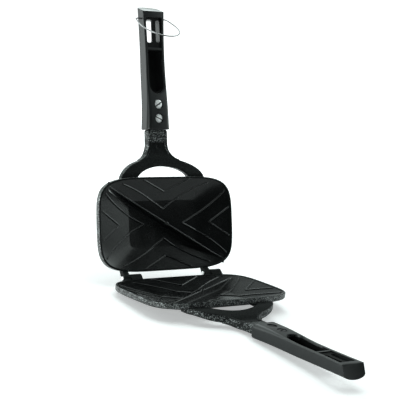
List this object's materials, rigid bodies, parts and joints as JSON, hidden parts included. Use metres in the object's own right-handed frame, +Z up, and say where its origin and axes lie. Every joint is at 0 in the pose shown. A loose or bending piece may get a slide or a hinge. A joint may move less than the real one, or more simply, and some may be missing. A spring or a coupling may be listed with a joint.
{
  "type": "stovetop sandwich toaster",
  "caption": "Hinged cast sandwich toaster for the hob, standing open, with a ribbed tray and a long moulded handle on each half and a wire hanging loop.",
  "frame": {"origin": "middle of the bounding box's bottom, on the surface that the base half stands on", "axes": "+X along the hinge, to the right seen from the base handle's end; +Y from the base handle's end towards the lid; +Z up"},
  "size_m": [0.235, 0.5406, 0.3589],
  "materials": {
    "coating": "cast aluminium under a dark non-stick coating",
    "phenolic": "matte charcoal phenolic",
    "steel": "bright steel"
  },
  "bodies": {
    "base": {"base_tray": "coating", "base_handle": "phenolic", "base_handle_screw_inner": "steel", "base_handle_screw_outer": "steel", "hinge_pin_left": "steel", "hinge_pin_right": "steel"},
    "lid": {"lid_tray": "coating", "lid_handle": "phenolic", "lid_handle_screw_inner": "steel", "lid_handle_screw_outer": "steel"},
    "loop": {"hanging_loop": "steel"}
  },
  "joints": [
    {"name": "lid_hinge", "type": "hinge", "parent": "base", "child": "lid", "pos_m": [0, 0.11068, 0.01247], "axis": [1, 0, 0], "range_deg": [0, 102.6]},
    {"name": "loop_swing", "type": "hinge", "parent": "lid", "child": "loop", "pos_m": [0, 0.25334, 0.34623], "axis": [1, 0, 0], "range_deg": [-288, 44]}
  ]
}
